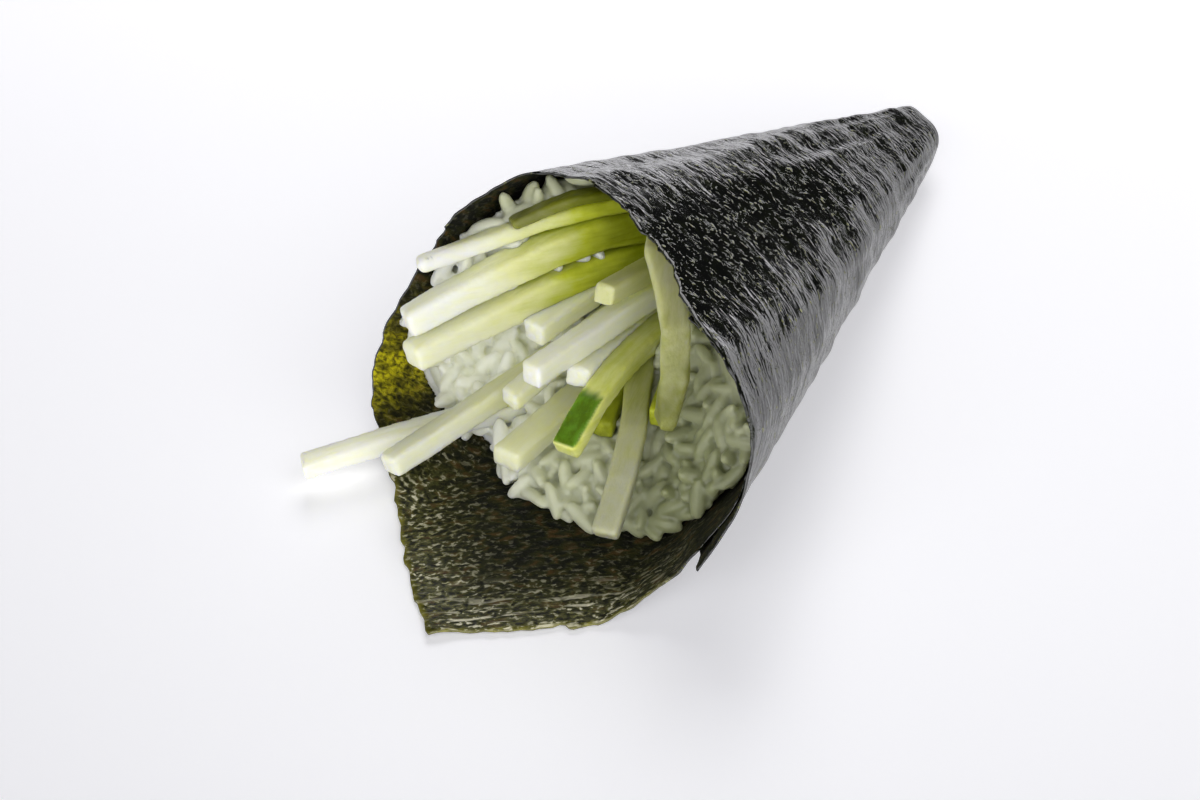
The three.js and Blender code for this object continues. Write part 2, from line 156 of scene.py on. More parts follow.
apex = np.array([109.3, -0.6, 0.0])
cone = {
    "halfWidth": 0.224, "halfHeight": 0.186, "lean": -0.026, "footWidth": 0.03,
    "shoulder": 0.042, "leftRise": 0.03, "sink": 0.032,
}
sheet = {
    "mouthDistance": 151.6, "foot": 39.3, "turn": 84, "start": -32, "corner": 68.4, "end": 100,
    "startCorner": 105.7, "endFoot": 43, "tipRadius": 24, "tipMiddle": 34, "tipSpread": 55, "tipPower": 1.9,
    "rimWaves": ((1, -0.044, -0.0414), (2, 0.032, 0.0201), (3, 0.0024, -0.006)),
    "rimBumps": ((27, 12, -2.5), (56, 15, 3.5), (90, 17, -3.5), (96, 10, 3.8), (200, 16, -4)),
    "climbPast": 12, "climbUpTo": 30, "layerStep": 0.95,
}
lip = {"from": 130, "to": 162, "flatTo": 42, "freeFrom": 78, "press": 0.8, "outX": 1.15, "outY": 0.7}


def sectionRay(psi):
    psi = np.asarray(psi, float)
    y = (cone["halfWidth"] * np.sin(psi) + cone["lean"] * (1 - np.cos(psi)) / 2
         + cone["footWidth"] * np.sin(2 * psi))
    z = (cone["halfHeight"] * (1 - np.cos(psi)) + cone["shoulder"] * (1 - np.cos(2 * psi))
         + cone["leftRise"] * np.sin(psi) * (1 - np.cos(psi)) - cone["sink"])
    ray = np.stack([-np.ones_like(y), y, np.maximum(z, 0)], -1)
    return ray / np.linalg.norm(ray, axis=-1, keepdims=True)


def inwardAt(psi):
    tangent = sectionRay(np.asarray(psi) + 0.02) - sectionRay(np.asarray(psi) - 0.02)
    inward = np.cross(tangent, sectionRay(psi))
    return inward / np.linalg.norm(inward, axis=-1, keepdims=True)


psiTable = np.linspace(-1.4 * math.pi, 3 * math.pi, 4401)
arcTable = np.concatenate([[0], np.cumsum(np.linalg.norm(np.diff(sectionRay(psiTable), axis=0), axis=1))])
arcZero = np.interp(0, psiTable, arcTable)
arcTurn = np.interp(2 * math.pi, psiTable, arcTable) - arcZero


def psiOfPhi(phi):
    return np.interp(arcZero + np.asarray(phi) / sheet["turn"] * arcTurn, arcTable, psiTable)


def phiOfPsi(psi):
    return (np.interp(psi, psiTable, arcTable) - arcZero) / arcTurn * sheet["turn"]


def sumBumps(bumps, psi):
    total = 0
    for at, width, out in bumps:
        total = total + out * bell(angleFrom(psi, at), math.radians(width))
    return total


def rimRadius(phi):
    psi = psiOfPhi(phi)
    wave = 1
    for turns, cosPart, sinPart in sheet["rimWaves"]:
        wave = wave + cosPart * (1 - np.cos(turns * psi)) / 2 + sinPart * np.sin(turns * psi)
    return (sheet["mouthDistance"] / np.cos(np.radians(phi - sheet["foot"])) * wave
            + sumBumps(sheet["rimBumps"], psi))


startEdge = (-sheet["mouthDistance"] * math.tan(math.radians(sheet["foot"])), sheet["mouthDistance"])
startAlong = (math.cos(math.radians(sheet["startCorner"])), math.sin(math.radians(sheet["startCorner"])))


def startRadius(phi):  # out to the loose front edge
    turned = np.radians(phi - sheet["foot"])
    edgeX, edgeY = startEdge
    alongX, alongY = startAlong[0], -startAlong[1]
    return (edgeX * alongY - edgeY * alongX) / (np.sin(turned) * alongY - np.cos(turned) * alongX)


def outerRadius(phi):
    phi = np.asarray(phi, float)
    endDistance = rimRadius(sheet["corner"]) * math.sin(math.radians(sheet["corner"] - sheet["endFoot"]))
    past = np.maximum(phi, sheet["corner"])
    ended = endDistance / np.sin(np.radians(past - sheet["endFoot"]))
    rolled = np.where(phi <= sheet["corner"], rimRadius(phi), ended)
    return np.where(phi < 0, startRadius(np.minimum(phi, 0)), rolled)


def tipRadius(phi):
    away = np.minimum(np.abs(phi - sheet["tipMiddle"]), sheet["tipSpread"])
    return sheet["tipRadius"] / np.cos(np.radians(away)) ** sheet["tipPower"]


def layerLift(phi, radius):
    cover = outerRadius(np.minimum(phi + sheet["turn"], sheet["end"] + sheet["climbUpTo"]))
    covered = 1 - ease(radius - cover, 0, sheet["climbPast"])
    fade = 1 - ease(phi, sheet["end"] - sheet["turn"], sheet["climbUpTo"])
    return sheet["layerStep"] * covered * fade


def lipPress(psi, radius):
    turned = np.abs(angleFrom(psi, 0))
    near = 1 - ease(turned, math.radians(lip["flatTo"]), math.radians(lip["freeFrom"]))
    return np.where(np.sin(psi) < 0, 0, lip["press"] * near * ease(radius, lip["from"], lip["to"]))


def wallPoint(psi, radius, inset):
    point = sectionRay(psi) * np.asarray(radius)[..., None]
    drop = point[..., 2] * lipPress(psi, radius)
    point = point + np.stack([lip["outX"] * drop, lip["outY"] * drop, -drop], -1)
    return point + inwardAt(psi) * np.asarray(inset)[..., None]


# materials

def newMaterial(name):
    material = bpy.data.materials.new(name)
    material.use_nodes = True
    tree = material.node_tree
    return material, tree, tree.nodes["Principled BSDF"]


def readAttribute(tree, name):
    node = tree.nodes.new("ShaderNodeAttribute")
    node.attribute_name = name
    return node


def cloud(tree, vector, size, detail, roughness, distortion=0.0, turn=0.0):  # size is one step, after a turn
    steps = tree.nodes.new("ShaderNodeMapping")
    steps.vector_type = "TEXTURE"
    steps.inputs["Scale"].default_value = size
    steps.inputs["Rotation"].default_value = (0, 0, math.radians(turn))
    tree.links.new(vector, steps.inputs["Vector"])
    node = tree.nodes.new("ShaderNodeTexNoise")
    node.inputs["Scale"].default_value = 1.0
    node.inputs["Detail"].default_value = detail
    node.inputs["Roughness"].default_value = roughness
    node.inputs["Distortion"].default_value = distortion
    tree.links.new(steps.outputs["Vector"], node.inputs["Vector"])
    return node.outputs["Fac"]


def ramp(tree, factor, stops):
    node = tree.nodes.new("ShaderNodeValToRGB")
    elements = node.color_ramp.elements
    while len(elements) < len(stops):
        elements.new(0.5)
    for element, (place, colour) in zip(elements, stops):
        element.position = place
        element.color = (*colour, 1)
    tree.links.new(factor, node.inputs["Fac"])
    return node.outputs["Color"]


def grey(value):
    return (value, value, value)


def greyRamp(tree, factor, low, high, bottom=0.0, top=1.0):  # from bottom at low to top at high
    return ramp(tree, factor, ((low, grey(bottom)), (high, grey(top))))


def mixColours(tree, factor, first, second):
    node = tree.nodes.new("ShaderNodeMix")
    node.data_type = "RGBA"
    for socket, value in ((node.inputs[0], factor), (node.inputs[6], first), (node.inputs[7], second)):
        if isinstance(value, bpy.types.NodeSocket):
            tree.links.new(value, socket)
        elif isinstance(value, tuple):
            socket.default_value = (*value, 1)
        else:
            socket.default_value = value
    return node.outputs[2]


def maths(tree, operation, *values, clamp=False):
    node = tree.nodes.new("ShaderNodeMath")
    node.operation = operation
    node.use_clamp = clamp
    for socket, value in zip(node.inputs, values):
        if isinstance(value, bpy.types.NodeSocket):
            tree.links.new(value, socket)
        else:
            socket.default_value = value
    return node.outputs[0]


def times(tree, first, second):
    return maths(tree, "MULTIPLY", first, second)


def plus(tree, first, second):
    return maths(tree, "ADD", first, second)


def bumps(tree, shader, patterns, heights):  # in mm, each over the one before
    normal = None
    for name, height in heights.items():
        node = tree.nodes.new("ShaderNodeBump")
        node.inputs["Strength"].default_value = 1.0
        node.inputs["Distance"].default_value = height * mm
        tree.links.new(patterns[name], node.inputs["Height"])
        if normal:
            tree.links.new(normal, node.inputs["Normal"])
        normal = node.outputs["Normal"]
    tree.links.new(normal, shader.inputs["Normal"])


# nori: one leaf, rolled up

leaf = {
    "columns": (110, 220, 80),  # along the inner short edge, the long edge and the outer short edge
    "rows": 105,
    "thickness": 0.34, "inset": 0.05,
    "torn": 0.75, "degree": 2.8,  # how ragged the edges are, and the length of a degree of edge
    "tears": ((9, 1.7, 0.9), (2.2, 5.1, 1.3)),  # length, row of the noise and depth
    "bites": (5.5, 9.4, 0.22, -4), "fibreEnds": (1.3, 3.3, 0.35, 3),  # and only past a threshold
    "creases": ((24, 11, 0.42), (8, 4.2, 0.34), (4.2, 2.3, 0.14)),  # length, width and height
    "folds": (45, 5.5, 0.70), "foldsFrom": (20, 60), "foldsAt": 110,  # long ones that run to the tip
    "calmAt": 204, "calmWidth": 30, "calmFrom": (60, 95), "calmed": 0.88,  # smoother there
    "riceAt": 82, "riceWidth": 40, "outward": 0.15,  # and where the rice pushes it out
    "leastCrease": 0.3, "pressedFlat": 0.6, "lastLap": (78, 86),  # creases are lower where it is wound twice
    "floorRise": (0.08, 0.3), "floorCrease": 0.6,
    "ridges": ((13, 1.7, 6, 1), (5, 0.9, 9, 0.4)),  # along the loose front edge
    "ridgeHeight": 0.55, "ridgeReach": 9,
    "lift": 0.8, "liftReach": 4.5, "liftLength": 22, "liftShare": 0.55,
    "looseUpTo": 10,
    "backlitAt": 57, "backlitWidth": 0.15, "backlitFrom": (144, 154),  # where light comes through it
    # a band along the thin loose edge where painted light shows through, and how patchy that painted light is
    "edgeBand": (0.2, 0.9), "edgeLight": (0.3, 0.9, 3),
    # how far from the front edge and the left side the flap catches light: painted glints and sheen on the
    # rough side, and lower roughness there
    "shineReach": 10, "sideReach": 14, "frontReach": 8,
    "seed": 4.0,
}
noriLook = {
    # a ramp of colours is places on a pattern and their colours
    "shinyBase": ((0.46, (0.0015, 0.002, 0.0008)), (0.68, (0.010, 0.013, 0.003))),
    "shinyFleck": (0.25, 0.26, 0.07),
    "roughBase": (
        (0.44, (0.0025, 0.003, 0.0008)), (0.56, (0.018, 0.020, 0.002)), (0.68, (0.060, 0.032, 0.008)),
    ),
    # threads and pale flecks of the rough side; where the flap catches light they carry painted sheen and
    # painted glints
    "threadAndSheen": (0.31, 0.30, 0.09), "fleckAndGlint": (0.80, 0.76, 0.58),
    # backlit is painted light coming through the leaf; edge is painted light through its thin loose edge
    "backlit": (0.74, 0.66, 0.01), "edge": (0.30, 0.28, 0.03),
    "bend": 1.7, "innerBend": 1.33,  # how strongly it mirrors
    "curls": (0.04, 0.55), "loops": (0.03, 0.57), "roughCurls": (0.04, 0.53),  # how thin, and from where
    # a ramp of greys is two places on a pattern and, unless they are 0 and 1, what it gives there
    "shinyMatt": (0.40, 0.58, 0.24, 0.12), "flecksInMatt": 0.55, "calmMatt": 0.4,
    # painted glints and sheen: the share that follows where the flap catches light and the share everywhere,
    # then the flecks and ridges that carry them
    "brightShine": (0.94, 0.06),
    "sheenFlecks": (0.40, 0.62, 0, 0.40), "paleFlecks": (0.56, 0.64), "clumped": (0.40, 0.56, 0.3, 1),
    "ridged": (0.56, 0.62), "ridgeGaps": (0.44, 0.54),
    "glowFlecks": (0.36, 0.58, 0.15, 1), "glowCoarse": (0.42, 0.56, 0.3, 1),
    "roughMatt": 0.80, "shineMatt": 0.40, "glints": (0.48, 0.58), "glintMatt": 0.17,
    "shinyRelief": {"streaks": 0.28, "fibres": 0.10, "flecks": 0.07, "curls": 0.12, "loops": 0.10},
    "roughRelief": {"coarse": 0.40, "flecks": 0.28, "curls": 0.12, "ridges": 0.5},
}
shinyPatterns = {  # size of a step, detail, roughness, distortion and turn
    "fibres": ((4.4, 2.0, 1), 2, 0.5, 0.6),
    "flecks": ((1.9, 1.1, 1), 2, 0.5, 0.4),
    "patches": ((16, 7, 1), 3, 0.6),
    "curls": ((3.4, 2.2, 1), 2, 0.5, 1.2, 14),
    "loops": ((2.4, 1.9, 1), 1, 0.5, 1.0, -24),
    "streaks": ((5.5, 1.7, 1), 2, 0.5, 0.8, 8),
}
roughPatterns = {  # the same, along the loose front edge
    "coarse": ((3.4, 1.9, 1), 2, 0.5, 0.5),
    "flecks": ((1.3, 0.85, 1), 2, 0.5, 0.4),
    "curls": ((2.6, 1.5, 1), 2, 0.5, 1.0),
    "clumps": ((9, 5, 1), 2, 0.5, 0.3),
    "ridges": ((11, 1.2, 1), 2, 0.5, 0.4),
}


def threads(tree, height, where, thin, low, fade=0.08):  # thin curly lines, only where the second one is high
    away = maths(tree, "ABSOLUTE", maths(tree, "SUBTRACT", height, 0.5))
    return times(tree, greyRamp(tree, away, 0.0, thin, 1, 0), greyRamp(tree, where, low, low + fade))


def noriOuterMaterial():
    material, tree, shader = newMaterial("noriShiny")
    flat = readAttribute(tree, "flatPlace").outputs["Vector"]
    edge, crinkle = (readAttribute(tree, name).outputs["Fac"] for name in ("edge", "crinkle"))
    pattern = {name: cloud(tree, flat, *numbers) for name, numbers in shinyPatterns.items()}
    fibres, flecks = pattern["fibres"], pattern["flecks"]
    curls = threads(tree, pattern["curls"], flecks, *noriLook["curls"])
    loops = threads(tree, pattern["loops"], fibres, *noriLook["loops"])
    base = ramp(tree, fibres, noriLook["shinyBase"])
    base = mixColours(tree, curls, base, noriLook["shinyFleck"])
    # painted light through the thin loose edge
    base = mixColours(tree, edge, base, noriLook["edge"])
    tree.links.new(base, shader.inputs["Base Color"])
    share = noriLook["flecksInMatt"]
    gloss = plus(tree, times(tree, flecks, share), times(tree, pattern["patches"], 1 - share))
    some = plus(tree, times(tree, crinkle, 1 - noriLook["calmMatt"]), noriLook["calmMatt"])
    matt = greyRamp(tree, gloss, *noriLook["shinyMatt"])
    tree.links.new(times(tree, matt, some), shader.inputs["Roughness"])
    relief = {
        "streaks": times(tree, pattern["streaks"], crinkle), "fibres": times(tree, fibres, some),
        "flecks": times(tree, flecks, some), "curls": curls, "loops": loops,
    }
    bumps(tree, shader, relief, noriLook["shinyRelief"])
    shader.inputs["IOR"].default_value = noriLook["bend"]
    return material


def noriInnerMaterial():
    material, tree, shader = newMaterial("noriRough")
    flat = readAttribute(tree, "flatPlace").outputs["Vector"]
    backlit, edge, shine, front = (
        readAttribute(tree, name).outputs["Fac"] for name in ("backlit", "edge", "shine", "front")
    )
    turn = -sheet["startCorner"]
    pattern = {name: cloud(tree, flat, *numbers, turn=turn) for name, numbers in roughPatterns.items()}
    coarse, flecks = pattern["coarse"], pattern["flecks"]
    curls = threads(tree, pattern["curls"], flecks, *noriLook["roughCurls"])
    base = ramp(tree, coarse, noriLook["roughBase"])
    shareOfShine, always = noriLook["brightShine"]
    bright = maths(tree, "ADD", times(tree, shine, shareOfShine), always, clamp=True)
    # threads, brighter where the flap catches light: the thread colour and painted sheen
    base = mixColours(tree, times(tree, curls, bright), base, noriLook["threadAndSheen"])
    # painted sheen: flecks where the flap catches light
    paintedLight = times(tree, greyRamp(tree, flecks, *noriLook["sheenFlecks"]), shine)
    base = mixColours(tree, paintedLight, base, noriLook["threadAndSheen"])
    # painted glints: pale flecks, mostly where the flap catches light
    pale = times(tree, greyRamp(tree, flecks, *noriLook["paleFlecks"]), bright)
    pale = times(tree, pale, greyRamp(tree, pattern["clumps"], *noriLook["clumped"]))
    base = mixColours(tree, pale, base, noriLook["fleckAndGlint"])
    # painted highlights along the ridges by the front edge
    ridge = times(tree, greyRamp(tree, pattern["ridges"], *noriLook["ridged"]), front)
    ridge = times(tree, ridge, greyRamp(tree, coarse, *noriLook["ridgeGaps"]))
    base = mixColours(tree, ridge, base, noriLook["fleckAndGlint"])
    glow = maths(tree, "MULTIPLY", backlit, greyRamp(tree, flecks, *noriLook["glowFlecks"]), clamp=True)
    glow = times(tree, glow, greyRamp(tree, coarse, *noriLook["glowCoarse"]))
    base = mixColours(tree, glow, base, noriLook["backlit"])
    # painted light through the thin loose edge
    base = mixColours(tree, edge, base, noriLook["edge"])
    tree.links.new(base, shader.inputs["Base Color"])
    matt = maths(tree, "SUBTRACT", noriLook["roughMatt"], times(tree, shine, noriLook["shineMatt"]))
    glint = times(tree, greyRamp(tree, flecks, *noriLook["glints"]), bright)
    rough = mixColours(tree, glint, matt, grey(noriLook["glintMatt"]))
    tree.links.new(rough, shader.inputs["Roughness"])
    relief = {
        "coarse": coarse, "flecks": flecks, "curls": curls, "ridges": times(tree, pattern["ridges"], front),
    }
    bumps(tree, shader, relief, noriLook["roughRelief"])
    shader.inputs["IOR"].default_value = noriLook["innerBend"]
    return material


def tornEdge(along):
    big, small = (noiseAt(along / length, row, leaf["seed"]) * depth for length, row, depth in leaf["tears"])
    bite, fibre = (
        max(0.0, noiseAt(along / length, row, leaf["seed"]) - past) * depth
        for length, row, past, depth in (leaf["bites"], leaf["fibreEnds"])
    )
    return leaf["torn"] * (big + small + bite + fibre)


def creaseHeight(x, y):
    total = 0.0
    for i, (length, width, height) in enumerate(leaf["creases"]):
        total += height * noiseAt(x / length, y / width, leaf["seed"] + 3 * i)
    return total


def foldHeight(phi, radius):
    length, width, height = leaf["folds"]
    across = math.radians(phi) * leaf["foldsAt"] / width
    fold = height * noiseAt(radius / length, across, leaf["seed"] + 11)
    return fold * float(ease(radius, *leaf["foldsFrom"]))


def flatPlaces(phi, radius):  # in the flat sheet, and then from and along its loose front edge
    turned = np.radians(phi - sheet["foot"])
    flatX = radius * np.sin(turned)
    flatY = radius * np.cos(turned)
    (edgeX, edgeY), (alongX, alongY) = startEdge, startAlong
    fromEdge = (flatX - edgeX) * alongY + (flatY - edgeY) * alongX
    return flatX, flatY, fromEdge, flatX * alongX - flatY * alongY


def frontRelief(fromEdge, alongEdge):  # ridges along the loose front edge, and where it lifts off the floor
    past = np.maximum(fromEdge, 0)
    ridges = np.array([
        sum(share * abs(noiseAt(a / length, d / width, row)) for length, width, row, share in leaf["ridges"])
        for a, d in zip(alongEdge, fromEdge)
    ]) * leaf["ridgeHeight"] * np.exp(-past / leaf["ridgeReach"])
    length, share = leaf["liftLength"], leaf["liftShare"]
    lift = np.array([max(0.0, share + noiseAt(a / length, 2.2, 1)) for a in alongEdge])
    return ridges + lift * leaf["lift"] * bell(past, leaf["liftReach"])


def bowed(psi, at, width):  # 1 round this angle, in degrees, and 0 further off
    return bell(angleFrom(psi, at), math.radians(width), 4)


def leafRelief(phi, psi, radius, crinkle, onFloor):
    flatX, flatY, fromEdge, alongEdge = flatPlaces(phi, radius)
    creases = np.array([creaseHeight(x, y) for x, y in zip(flatX, flatY)])
    folds = np.array([foldHeight(a, r) for a, r in zip(phi, radius)])
    laps = np.clip(layerLift(phi, radius) / sheet["layerStep"] + ease(phi, *leaf["lastLap"]), 0, 1)
    byRice = bowed(psi, leaf["riceAt"], leaf["riceWidth"])
    free = leaf["leastCrease"] + (1 - leaf["leastCrease"]) * crinkle
    free = free * (1 - leaf["pressedFlat"] * np.maximum(laps, byRice))
    onWall = (creases + folds) * free - leaf["outward"]
    relief = onWall * (1 - onFloor) + np.abs(creases) * leaf["floorCrease"] * onFloor
    return relief + frontRelief(fromEdge, alongEdge) * ((phi < leaf["looseUpTo"]) * onFloor)


def markLeaf(mesh, phi, psi, radius, outer, crinkle, onFloor):  # what the two materials read
    flatX, flatY, fromEdge, _ = flatPlaces(phi, radius)
    addVectorAttribute(mesh, "flatPlace", np.stack([flatX, flatY, np.zeros_like(flatX)], -1))
    addAttribute(mesh, "crinkle", crinkle)
    light = bell(psi - math.radians(leaf["backlitAt"]), leaf["backlitWidth"])
    addAttribute(mesh, "backlit", np.clip(light * ease(radius, *leaf["backlitFrom"]), 0, 1))
    # painted light showing through the thin loose edge, patchy along it, only where the leaf lies on the
    # floor
    thin = 1 - ease(outer - radius, *leaf["edgeBand"])
    least, most, size = leaf["edgeLight"]
    paintedLight = np.array([least + most * abs(noiseAt(x / size, y / size, 5)) for x, y in zip(flatX, flatY)])
    addAttribute(mesh, "edge", thin * paintedLight * onFloor)
    # where the flap catches light: painted glints and sheen in the rough side's colour and lower roughness;
    # front also raises the ridges
    past = np.maximum(fromEdge, 0)
    side = bell(outer - radius, leaf["sideReach"]) * ease(phi, -2, 2)
    addAttribute(mesh, "shine", np.clip(bell(past, leaf["shineReach"]) + side, 0, 1) * onFloor)
    addAttribute(mesh, "front", bell(past, leaf["frontReach"]) * onFloor)


def makeNori():
    startColumns, rimColumns, endColumns = leaf["columns"]
    columns = startColumns + rimColumns + endColumns
    bm = bmesh.new()
    bmesh.ops.create_grid(bm, x_segments=columns, y_segments=leaf["rows"], size=0.5)
    grid = np.array([v.co for v in bm.verts]) + 0.5
    share = np.array([0, startColumns, startColumns + rimColumns, columns]) / columns
    phi = np.interp(grid[:, 0], share, [sheet["start"], 0, sheet["corner"], sheet["end"]])
    psi = psiOfPhi(phi)
    angles, which = np.unique(phi, return_inverse=True)
    outer = outerRadius(phi) + np.array([tornEdge(angle * leaf["degree"]) for angle in angles])[which]
    inner = tipRadius(phi)
    radius = inner + (outer - inner) * grid[:, 1]
    crinkle = bowed(psi, leaf["calmAt"], leaf["calmWidth"])
    crinkle = 1 - leaf["calmed"] * crinkle * ease(radius, *leaf["calmFrom"])
    onFloor = 1 - ease(1 - np.cos(psi), *leaf["floorRise"])  # where it lies on the floor it only rises
    relief = leafRelief(phi, psi, radius, crinkle, onFloor)
    place = wallPoint(psi, radius, leaf["inset"] + layerLift(phi, radius) + relief)
    place[:, 2] = np.maximum(place[:, 2], 0)
    for vertex, co in zip(bm.verts, (place + apex) * mm):
        vertex.co = co
    bm.normal_update()
    middle = len(bm.verts) // 2
    bm.verts.ensure_lookup_table()
    if np.dot(np.array(bm.verts[middle].normal), inwardAt(psi[middle])) > 0:
        bmesh.ops.reverse_faces(bm, faces=bm.faces)
    mesh = bpy.data.meshes.new("noriLeaf")
    bm.to_mesh(mesh)
    bm.free()
    shadeSmooth(mesh)
    markLeaf(mesh, phi, psi, radius, outer, crinkle, onFloor)
    piece = addPiece("noriLeaf", mesh, [noriOuterMaterial(), noriInnerMaterial()], "nori", ["nori_sheet"])
    solid = piece.modifiers.new("thickness", "SOLIDIFY")
    solid.thickness = leaf["thickness"] * mm
    solid.offset = -1
    solid.material_offset = 1
    solid.material_offset_rim = 0
    return piece


noriLeaf = makeNori()
print("nori leaf made:", len(noriLeaf.data.polygons), "faces before thickness")


# cucumber sticks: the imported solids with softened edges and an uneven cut

cucumber = {
    "voxel": 0.3, "soften": 10, "swell": 0.16,
    "uneven": (9, 4, 0.18), "cutMarks": (7, 0.9, 0.04),  # length, width and height
    "thicker": {"01": 0.5, "02": 0.3, "03": 0.3},
    # how green each one is at its tip and deep in the roll, and where along the roll it turns: partly the
    # flesh's own green, partly painted shade that darkens it deep in the roll
    "greenAndShade": {
        "01": (0.02, 0.80, -40, -14), "02": (0.02, 0.95, -43, -10), "03": (0.14, 0.95, -43, -10),
        "04": (0.34, 0.56, -32, -8), "05": (0.07, 0.34, -30, -8), "06": (0.10, 0.34, -32, -10),
        "07": (0.56, 0.58, -40, -10), "08": (0.15, 0.30, -44, -14), "09": (0.20, 0.66, -54, -16),
        "10": (0.62, 0.34, -46, -34), "11": (0.05, 0.14, -64, -20), "12": (0.06, 0.40, -58, -18),
        "13": (0.09, 0.40, -40, -10), "14": (0.20, 0.28, -54, -20), "15": (0.85, 1.00, -38, -14),
        "16": (0.85, 1.00, -36, -14), "17": (0.60, 1.00, -27, -12),
    },
    # painted shade: how much darker some are made, at the tip and deep in
    "paintedShade": {
        "02": (0.05, 0.18), "03": (0.12, 0.10), "04": (0.26, 0.10), "09": (0.50, 0.32), "10": (0.72, 0.28),
        "12": (0.14, 0.14), "14": (0.16, 0.16), "15": (0.2, 0.2), "17": (0.7, 0.6),
    },
    "turnUneven": (14, 3, 4),
    "skinOn": "07", "skinTo": -43.5, "skinUneven": 1.2, "skinUpwards": (0.35, 0.7),
    # from the pale flesh at the tips to deep green; the darker end is partly painted shade deep in the roll
    "flesh": (
        (0.0, (0.93, 0.94, 0.82)), (0.34, (0.87, 0.88, 0.46)), (0.72, (0.56, 0.61, 0.05)),
        (1.0, (0.25, 0.29, 0.003)),
    ),
    "skin": ((0.40, (0.085, 0.16, 0.002)), (0.62, (0.12, 0.26, 0.012))),
    "streaked": 0.34, "mottled": 0.24, "matt": (0.35, 0.65, 0.50, 0.36),
    "relief": {"streaks": 0.18, "fine": 0.05},
    "lightColours": (1.0, 0.95, 0.35), "lightReach": 0.004, "mirror": 0.3,
}
cucumberPatterns = {  # size of a step, detail and roughness, along the flow of the flesh
    "streaks": ((14, 1.1, 1.1), 3, 0.55),
    "mottle": ((3.2, 2.0, 2.0), 4, 0.6),
    "fine": ((4, 0.7, 0.7), 1, 0.5),
}


def letLightIn(shader, look):  # light goes in and comes out again near by
    shader.inputs["Subsurface Weight"].default_value = 1.0
    shader.inputs["Subsurface Radius"].default_value = look["lightColours"]
    shader.inputs["Subsurface Scale"].default_value = look["lightReach"]
    shader.inputs["Specular IOR Level"].default_value = look["mirror"]


def cucumberMaterial():
    material, tree, shader = newMaterial("cucumberFlesh")
    flow = readAttribute(tree, "flow").outputs["Vector"]
    greenAndShade, skin, paintedShade = (readAttribute(tree, name).outputs["Fac"] for name in ("greenAndShade", "skin", "paintedShade"))
    pattern = {name: cloud(tree, flow, *numbers) for name, numbers in cucumberPatterns.items()}
    streaks, mottle = pattern["streaks"], pattern["mottle"]
    change = plus(tree, times(tree, maths(tree, "SUBTRACT", streaks, 0.5), cucumber["streaked"]),
                  times(tree, maths(tree, "SUBTRACT", mottle, 0.5), cucumber["mottled"]))
    # the flesh's own green together with painted shade deep in the roll
    base = ramp(tree, maths(tree, "ADD", greenAndShade, change, clamp=True), cucumber["flesh"])
    base = mixColours(tree, skin, base, ramp(tree, streaks, cucumber["skin"]))
    # painted shade, darker on some sticks
    base = mixColours(tree, paintedShade, base, grey(0))
    tree.links.new(base, shader.inputs["Base Color"])
    tree.links.new(greyRamp(tree, mottle, *cucumber["matt"]), shader.inputs["Roughness"])
    letLightIn(shader, cucumber)
    bumps(tree, shader, pattern, cucumber["relief"])
    return material


def unevenness(numbers, along, across, up):
    length, width, height = numbers
    return noiseAt(along / length, across / width, up / width) * height


def skinShare(x, y, z, upwards):  # only on top of the stick's end
    uneven = cucumber["skinUneven"]
    edge = cucumber["skinTo"] + noiseAt(y, z, 3) * uneven
    return float((1 - ease(x, edge - uneven, edge + uneven)) * ease(upwards, *cucumber["skinUpwards"]))


def makeStick(name, material):
    bm = bmesh.new()
    bm.from_mesh(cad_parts["cucumber_stick_" + name].data)
    bmesh.ops.remove_doubles(bm, verts=bm.verts, dist=0.00001)
    mesh = bpy.data.meshes.new("cucumberStick" + name)
    bm.to_mesh(mesh)
    bm.free()
    shaped = remeshed(mesh, cucumber["voxel"])
    bm = bmesh.new()
    bm.from_mesh(shaped)
    soften(bm, cucumber["soften"])
    bm.normal_update()
    seed = int(name) * 7.3  # so that no two sticks are alike
    places = np.array([v.co for v in bm.verts]) / mm
    centred = places - places.mean(0)
    axes = np.linalg.eigh(centred.T @ centred)[1]
    flow = centred @ axes[:, ::-1] + seed  # the first axis runs along the stick
    tip, deep, turnFrom, turnTo = cucumber["greenAndShade"][name]
    dimTip, dimDeep = cucumber["paintedShade"].get(name, (0, 0))
    greenAndShade, paintedShade, skin = [], [], []
    for vertex, (x, y, z), part in zip(bm.verts, places, flow):
        out = (unevenness(cucumber["uneven"], *part) + unevenness(cucumber["cutMarks"], *part)
               + cucumber["thicker"].get(name, 0))
        turned = float(ease(x + unevenness(cucumber["turnUneven"], *part), turnFrom, turnTo))
        greenAndShade.append(tip + (deep - tip) * turned)
        paintedShade.append(dimTip + (dimDeep - dimTip) * turned)
        skin.append(skinShare(x, y, z, vertex.normal.z) if name == cucumber["skinOn"] else 0.0)
        vertex.co += vertex.normal * ((out + cucumber["swell"]) * mm)
    shaped.clear_geometry()
    bm.to_mesh(shaped)
    bm.free()
    shaped.name = "cucumberStick" + name
    shadeSmooth(shaped)
    addVectorAttribute(shaped, "flow", flow)
    addAttribute(shaped, "greenAndShade", greenAndShade)
    addAttribute(shaped, "skin", skin)
    addAttribute(shaped, "paintedShade", paintedShade)
    return addPiece("cucumberStick" + name, shaped, [material], "cucumber", ["cucumber_stick_" + name])


flesh = cucumberMaterial()
stickNames = sorted(cucumber["greenAndShade"])
sticks = [makeStick(name, flesh) for name in stickNames]
print("cucumber sticks made:", sum(len(stick.data.polygons) for stick in sticks), "faces")


# rice: a core under the face, and real grains settled on it

